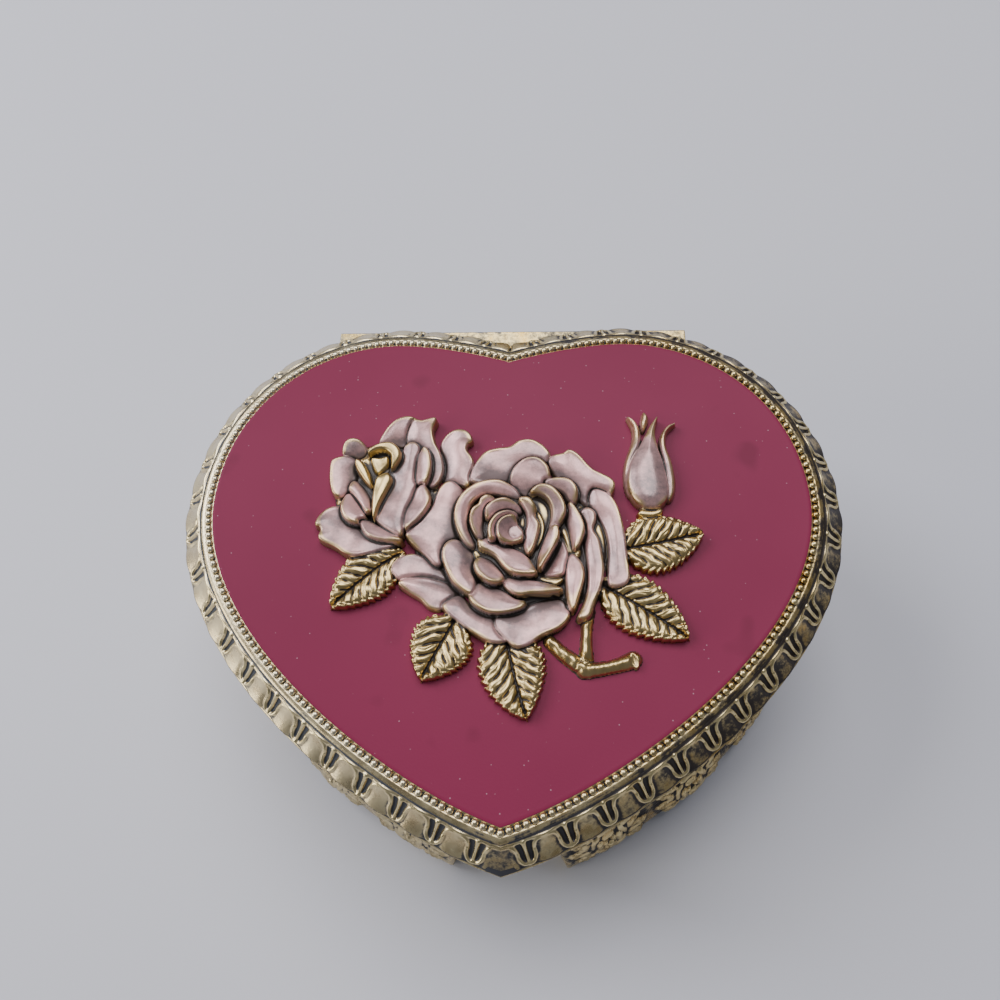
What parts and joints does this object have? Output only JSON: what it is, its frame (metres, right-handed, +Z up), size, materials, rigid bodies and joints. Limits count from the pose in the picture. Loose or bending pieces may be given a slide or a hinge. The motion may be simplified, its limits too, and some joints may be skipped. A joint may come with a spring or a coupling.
{
  "type": "heart-shaped trinket box",
  "caption": "Heart-shaped cast metal trinket box with a hinged enamelled lid that carries a spray of roses in relief.",
  "frame": {"origin": "middle of the outline, on the surface the feet stand on", "axes": "+Z up, +X to the right, the tip of the heart towards -Y and the hinge towards +Y"},
  "size_m": [0.1156, 0.0932, 0.0467],
  "materials": {
    "cast_metal": "antique gilt, dark patina in the recesses",
    "enamelled_lid": "semi-matte raspberry enamel in gilt metal",
    "hinge_steel": "dull drawn wire"
  },
  "bodies": {
    "base": {"box_body": "cast_metal", "hinge_pin": "hinge_steel"},
    "lid": {"lid": "enamelled_lid"}
  },
  "joints": [
    {"name": "lid_hinge", "type": "hinge", "parent": "base", "child": "lid", "pos_m": [0, 0.04496, 0.03435], "axis": [-1, 0, 0], "range_deg": [0, 95]}
  ]
}
